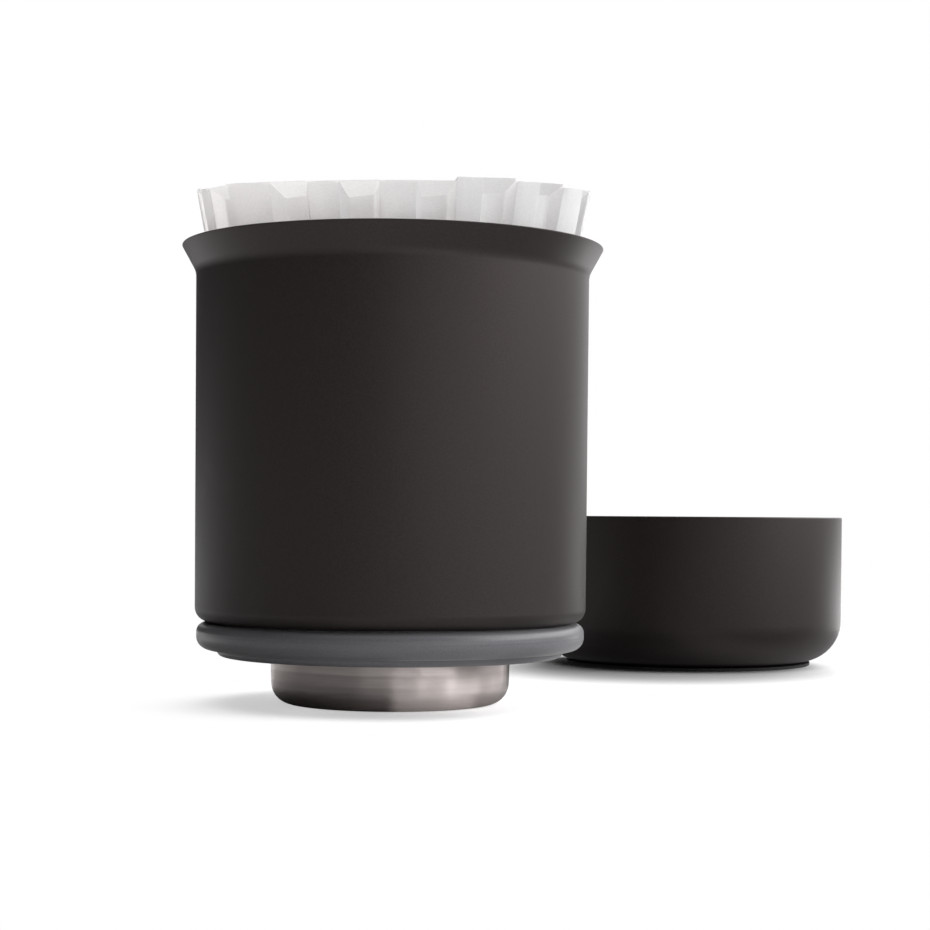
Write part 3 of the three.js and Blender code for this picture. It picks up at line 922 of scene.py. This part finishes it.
def paper_floor(edge, height):
    """The filter's flat floor, in rings from its edge to its middle."""
    previous = edge
    for i in range(1, FLOOR_RINGS):
        inward = 1 - (i / FLOOR_RINGS) ** FLOOR_RING_POWER
        ring = []
        for vert in edge:
            point = vert.co.xy * inward
            here = Vector((point.x, point.y, FLOOR_CRINKLE_LAYER)) * FLOOR_CRINKLE_WAVES
            crinkle = FLOOR_CRINKLE * noise.noise(here) * MM
            ring.append(bm.verts.new((point.x, point.y, height * MM + crinkle)))
        join_rings(bm, previous, ring)
        previous = ring
    join_rings(bm, previous, [bm.verts.new((0, 0, height * MM))])


outside = paper_skin(wall_shares + facet_shares, 0, 0)
inside = paper_skin(wall_shares + facet_shares, PAPER, PAPER)
join_rings(bm, outside[-1], inside[-1])
paper_floor(outside[0], PAPER_FLOOR)
paper_floor(inside[0], PAPER_FLOOR + PAPER)
fluted_paper = made_piece("fluted_paper", bm, filter_paper)
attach(fluted_paper, "filter")
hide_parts("paper_filter")

# Drip cup. Two drawn steel walls joined at the rim: the outer one is powder coated as the dripper is,
# and the liner is left bare. The cup stands beside the dripper, on a bonded rubber pad.
CUP_PLACE = (95.3, 141.3, 0)
CUP_RADIUS = 48.75
CUP_LOW_RADIUS = 48.35
CUP_HEIGHT = 46.8
CUP_BOTTOM = 1.2
CUP_WALL = 0.7
CUP_CORNER = 13.0
CUP_RIM_ROUND = 0.5
CUP_RIM_WALL = 0.8
CUP_MOUTH_RADIUS = 43.4
CUP_LINER_WALL = 0.6
CUP_LINER_CORNER = 9.0
CUP_LINER_BOTTOM = 4.9
CUP_PAD_RADIUS = 38.7
CUP_PAD_THICKNESS = 0.9
CUP_PAD_ROUND = 0.3
RUBBER_COLOUR = (0.012, 0.012, 0.012, 1)
RUBBER_PALE_COLOUR = (0.024, 0.024, 0.024, 1)
RUBBER_DUST_COLOUR = (0.25, 0.24, 0.23, 1)
RUBBER_DUST_SHARE = 0.6
RUBBER_ROUGHNESS = 0.7
RUBBER_GRAIN_DULLING = 0.1

liner_outside = CUP_MOUTH_RADIUS + CUP_LINER_WALL
rim_inside = liner_outside + SEAT_GAP
bm = bmesh.new()
turn_outline(
    bm,
    rounded_outline(
        [
            (0, CUP_BOTTOM),
            (CUP_LOW_RADIUS, CUP_BOTTOM, CUP_CORNER),
            (CUP_RADIUS, CUP_HEIGHT, CUP_RIM_ROUND),
            (rim_inside, CUP_HEIGHT),
            (rim_inside, CUP_HEIGHT - CUP_RIM_WALL),
            (CUP_RADIUS - CUP_WALL, CUP_HEIGHT - CUP_RIM_WALL),
            (CUP_LOW_RADIUS - CUP_WALL, CUP_BOTTOM + CUP_WALL, CUP_CORNER - CUP_WALL),
            (0, CUP_BOTTOM + CUP_WALL),
        ]
    ),
    closed=False,
)
cup_shell = made_piece("cup_coated_shell", bm, black_coat, CUP_PLACE)
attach(cup_shell, "drip_cup")
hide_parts("cup_outer_shell")

liner_steel = steel_finish(
    "liner_steel", PLAIN_STEEL_COLOURS, line_spacing=0.25, base_roughness=0.28, relief=0.35
)
bm = bmesh.new()
turn_outline(
    bm,
    rounded_outline(
        [
            (0, CUP_LINER_BOTTOM),
            (liner_outside, CUP_LINER_BOTTOM, CUP_LINER_CORNER + CUP_LINER_WALL),
            (liner_outside, CUP_HEIGHT),
            (CUP_MOUTH_RADIUS, CUP_HEIGHT),
            (CUP_MOUTH_RADIUS, CUP_LINER_BOTTOM + CUP_LINER_WALL, CUP_LINER_CORNER),
            (0, CUP_LINER_BOTTOM + CUP_LINER_WALL),
        ]
    ),
    closed=False,
)
cup_lining = made_piece("cup_lining", bm, liner_steel, CUP_PLACE)
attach(cup_lining, "drip_cup")
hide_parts("cup_liner")

pad_rubber, tree, shader = new_material("pad_rubber")
skin = use_effect(tree, fine_skin, grain=0.35, grit=0.6)
dust = use_effect(tree, settled_dust, speck_spacing=2.0, speck_size=0.05)
rubbery = blend_colours(tree, skin["Tone"], RUBBER_COLOUR, RUBBER_PALE_COLOUR)
dusted = lay_over(tree, dust["Speck"], RUBBER_DUST_SHARE, rubbery, RUBBER_DUST_COLOUR)
dull = calculate(tree, "MULTIPLY_ADD", skin["Tone"], RUBBER_GRAIN_DULLING, RUBBER_ROUGHNESS)
dress(tree, shader, dusted, dull, skin["Relief"], strength=0.5, depth=0.04)

bm = bmesh.new()
turn_outline(
    bm,
    rounded_outline(
        [
            (0, 0),
            (CUP_PAD_RADIUS, 0, CUP_PAD_ROUND),
            (CUP_PAD_RADIUS, CUP_PAD_THICKNESS),
            (0, CUP_PAD_THICKNESS),
        ]
    ),
    closed=False,
)
cup_pad = made_piece("cup_rubber_pad", bm, pad_rubber, CUP_PLACE)
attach(cup_pad, "drip_cup")
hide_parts("cup_foot_pad")

# The table. A white sweep, overexposed as in the photograph: the viewer sees it burn out to white a
# little way from the foot and the cup, with their soft contact shadows left. These shadows are partly
# real and partly painted: painted shade in front of the foot and round the cup, a painted contact
# shadow under the cup's left corner, and a painted glow that lifts them. To the object it is a pale
# top with a painted glow, brightest far behind on the right and in front, and painted shade round the
# cup.
TABLE_SIZE = 8.0
TABLE_ALBEDO = 0.38
FOOT_SHADE_PLACE = (0.003, -0.034, 0)
CUP_SHADE_PLACE = (0.084, 0.105, 0)
# A painted contact shadow under the cup's left corner: close to this place the glow and the white are
# taken out.
CUP_CONTACT_PLACE = (0.087, 0.138, 0)
CUP_CONTACT_REACH = (0.036, 0.052)
TABLE_WHITE_FROM_FOOT = (0.036, 0.070)
TABLE_WHITE_FROM_CUP = (0.045, 0.080)
# The veil is a painted glow that lifts the shadows, weaker near the cup.
TABLE_VEIL = 0.53
TABLE_VEIL_AT_CUP = 0.02
TABLE_VEIL_FROM_CUP = (0.03, 0.09)
# Painted shade spots that darken the table in front of the foot and round the cup.
TABLE_SHADE_AT_FOOT = 0.79
TABLE_SHADE_FROM_FOOT = (0.005, 0.028)
TABLE_SHADE_AT_CUP = 0.55
TABLE_SHADE_FROM_CUP = (0.022, 0.060)
# Painted shade round the cup, on the table as the object sees it.
TABLE_OBJECT_SHADE_AT_CUP = 0.3
TABLE_OBJECT_SHADE_FROM_CUP = (0.04, 0.10)
# How much of the painted glow is left under the cup, a painted shadow.
TABLE_THROW_UNDER_CUP = 0.15
# The thrown light is a painted glow of the table, standing in for light from the lit floor.
TABLE_BRIGHT_PARTS = (
    # turn from the right towards the back, from and to in degrees; reach from the foot, from and to,
    # and the fades before and after it, in metres; strength
    (-84, -45, 0.035, 0.11, 0.015, 0.03, 0.25),
    (-86, -60, 0.30, 0.80, 0.06, 0.60, 1.6),
    (-60, -45, 0.30, 0.80, 0.06, 0.60, 0.4),
    (-45, -8, 0.30, 0.80, 0.06, 0.60, 0.15),
    (-8, 40, 0.05, 0.11, 0.02, 0.03, 0.35),
    (40, 90, 0.14, 0.22, 0.03, 0.06, 0.5),
    (40, 90, 0.30, 0.80, 0.06, 0.60, 3.9),
    (90, 140, 0.05, 0.11, 0.02, 0.03, 0.5),
    (90, 140, 0.30, 0.80, 0.06, 0.60, 1.0),
    (140, 172, 0.14, 0.80, 0.03, 0.60, 0.6),
    (-172, -92, 0.10, 0.80, 0.03, 0.60, 0.30),
    (-108, -92, 0.06, 0.20, 0.02, 0.08, 0.20),
)
TABLE_BRIGHT_EDGE = math.radians(8)


def within(tree, value, low, high, before, after):
    """1 between low and high. It fades to 0 over the widths before and after them."""
    rises = spread(tree, value, low - before, low)
    falls = spread(tree, value, high, high + after, 1.0, 0.0)
    return calculate(tree, "MULTIPLY", rises, falls)


def distance_from(tree, place, middle):
    """How far each point of the surface is from a place."""
    node = add_node(tree, "VectorMath", {0: place, 1: middle}, operation="DISTANCE")
    return node.outputs["Value"]


bm = bmesh.new()
bmesh.ops.create_grid(bm, x_segments=1, y_segments=1, size=TABLE_SIZE / 2)
table_top, tree, shader = new_material("table_top")
tree.nodes.remove(shader)
place = own_place(tree)
axes = add_node(tree, "SeparateXYZ", {0: place}).outputs
from_foot = distance_from(tree, place, (0, 0, 0))
from_cup = distance_from(tree, place, CUP_SHADE_PLACE)
from_contact = distance_from(tree, place, CUP_CONTACT_PLACE)
# The painted contact shadow under the cup's left corner.
open_share = spread(tree, from_contact, *CUP_CONTACT_REACH)
white_share = calculate(
    tree,
    "MULTIPLY",
    spread(tree, from_foot, *TABLE_WHITE_FROM_FOOT),
    calculate(tree, "MULTIPLY", spread(tree, from_cup, *TABLE_WHITE_FROM_CUP), open_share),
)
# The painted glow, taken down near the cup and in front of the foot.
veil = spread(tree, from_cup, *TABLE_VEIL_FROM_CUP, TABLE_VEIL_AT_CUP, TABLE_VEIL)
veil = calculate(tree, "MULTIPLY", veil, open_share)
from_front = distance_from(tree, place, FOOT_SHADE_PLACE)
foot_shade = spread(tree, from_front, *TABLE_SHADE_FROM_FOOT, TABLE_SHADE_AT_FOOT, 1.0)
veil = calculate(tree, "MULTIPLY", veil, foot_shade)
way_round = calculate(tree, "ARCTAN2", axes["Y"], axes["X"])
# The painted glow that the object sees, in parts round the foot.
throw = 0.0
for turn_from, turn_to, near, far, before, after, strength in TABLE_BRIGHT_PARTS:
    turns = math.radians(turn_from), math.radians(turn_to)
    side = within(tree, way_round, *turns, TABLE_BRIGHT_EDGE, TABLE_BRIGHT_EDGE)
    part = calculate(tree, "MULTIPLY", side, within(tree, from_foot, near, far, before, after))
    throw = calculate(tree, "MULTIPLY_ADD", part, strength, throw)
# The painted glow is dimmed under the cup, a painted shadow.
under_cup = spread(tree, from_contact, *CUP_CONTACT_REACH, TABLE_THROW_UNDER_CUP, 1.0)
throw = calculate(tree, "MULTIPLY", throw, under_cup)

seen = add_node(tree, "LightPath").outputs["Is Camera Ray"]
white, black = (1, 1, 1, 1), (0, 0, 0, 1)
# The painted shade in front of the foot and round the cup darkens the lit white.
cup_shade = spread(tree, from_cup, *TABLE_SHADE_FROM_CUP, TABLE_SHADE_AT_CUP, 1.0)
shade = calculate(tree, "MULTIPLY", cup_shade, foot_shade)
shaded_white = blend_colours(tree, shade, black, white)
lit_white = add_node(tree, "BsdfDiffuse", {"Color": shaded_white}).outputs[0]
veil_light = add_node(tree, "Emission", {"Color": white, "Strength": veil}).outputs[0]
near_white = add_node(tree, "AddShader", {0: lit_white, 1: veil_light}).outputs[0]
plain_white = add_node(tree, "Emission", {"Color": white, "Strength": 1.0}).outputs[0]
whites = {0: white_share, 1: near_white, 2: plain_white}
to_viewer = add_node(tree, "MixShader", whites).outputs[0]
# Painted shade round the cup, as the object sees the table.
object_shade_at_cup = spread(tree, from_cup, *TABLE_OBJECT_SHADE_FROM_CUP, TABLE_OBJECT_SHADE_AT_CUP, 1.0)
pale_colour = blend_colours(tree, object_shade_at_cup, black, (TABLE_ALBEDO,) * 3 + (1,))
pale = add_node(tree, "BsdfDiffuse", {"Color": pale_colour}).outputs[0]
thrown_light = add_node(tree, "Emission", {"Color": white, "Strength": throw}).outputs[0]
to_object = add_node(tree, "AddShader", {0: pale, 1: thrown_light}).outputs[0]
surface = add_node(tree, "MixShader", {0: seen, 1: to_object, 2: to_viewer}).outputs[0]
tree.links.new(surface, tree.nodes["Material Output"].inputs["Surface"])
table = made_piece("table", bm, table_top)

# The room. To the viewer it is plain white. The object is lit by white panels behind it and on its
# right and by a soft one overhead, and it faces the dark on the viewer's left.
ROOM_PANELS = (
    # turn from the right towards the back, and height, both from and to in degrees; the height's
    # fade; strength
    (-86, -60, -10, 8, 6, 1.0),
    (-60, -30, -10, 8, 6, 2.2),
    (-30, 0, 12, 28, 8, 4.15),
    (0, 30, 12, 28, 8, 2.7),
    (30, 70, 12, 28, 8, 1.8),
    (52, 90, -4, 8, 6, 1.2),
    (70, 110, 12, 28, 8, 1.0),
    (-30, 90, 34, 56, 10, 2.5),
    (-180, 180, 64, 90, 12, 1.0),
)
ROOM_PANEL_EDGE = math.radians(6)

world = bpy.data.worlds.new("white_studio")
bpy.context.scene.world = world
world.use_nodes = True
tree = world.node_tree
ways = add_node(
    tree, "SeparateXYZ", {0: add_node(tree, "TexCoord").outputs["Generated"]}
).outputs
way_round = calculate(tree, "ARCTAN2", ways["Y"], ways["X"])
height = calculate(tree, "ARCSINE", ways["Z"])
brightness = 0.0
for turn_from, turn_to, low, high, fade, strength in ROOM_PANELS:
    turns = math.radians(turn_from), math.radians(turn_to)
    heights = math.radians(low), math.radians(high)
    panel = calculate(
        tree,
        "MULTIPLY",
        within(tree, way_round, *turns, ROOM_PANEL_EDGE, ROOM_PANEL_EDGE),
        within(tree, height, *heights, math.radians(fade), math.radians(fade)),
    )
    brightness = calculate(tree, "MULTIPLY_ADD", panel, strength, brightness)
seen = add_node(tree, "LightPath").outputs["Is Camera Ray"]
plain = add_node(tree, "Background", {"Color": white, "Strength": 1.0}).outputs[0]
lit = tree.nodes["Background"]
lit.inputs["Color"].default_value = white
tree.links.new(brightness, lit.inputs["Strength"])
mixed = add_node(tree, "MixShader", {0: seen, 1: lit.outputs[0], 2: plain}).outputs[0]
tree.links.new(mixed, tree.nodes["World Output"].inputs["Surface"])
bpy.context.scene.view_settings.view_transform = "Standard"

# The camera stands low in front of the dripper and looks slightly up, as it did for the photograph.
# Its lens and its place are fitted to the outlines of the dripper and the cup.
CAMERA_LENS = 77.25
CAMERA_PLACE = (0, -0.49819, 0.04623)
CAMERA_YAW = 0.0366
CAMERA_PITCH = 0.0260
CAMERA_ROLL = 0.0069
CAMERA_NEAREST = 0.01
CAMERA_FARTHEST = 20

camera = bpy.data.objects.new("camera", bpy.data.cameras.new("camera"))
camera.data.lens = CAMERA_LENS
camera.data.clip_start = CAMERA_NEAREST
camera.data.clip_end = CAMERA_FARTHEST
facing = (
    Matrix.Rotation(-CAMERA_YAW, 4, "Z")
    @ Matrix.Rotation(math.pi / 2 + CAMERA_PITCH, 4, "X")
    @ Matrix.Rotation(CAMERA_ROLL, 4, "Z")
)
camera.matrix_world = Matrix.Translation(CAMERA_PLACE) @ facing
bpy.context.scene.collection.objects.link(camera)
bpy.context.scene.camera = camera
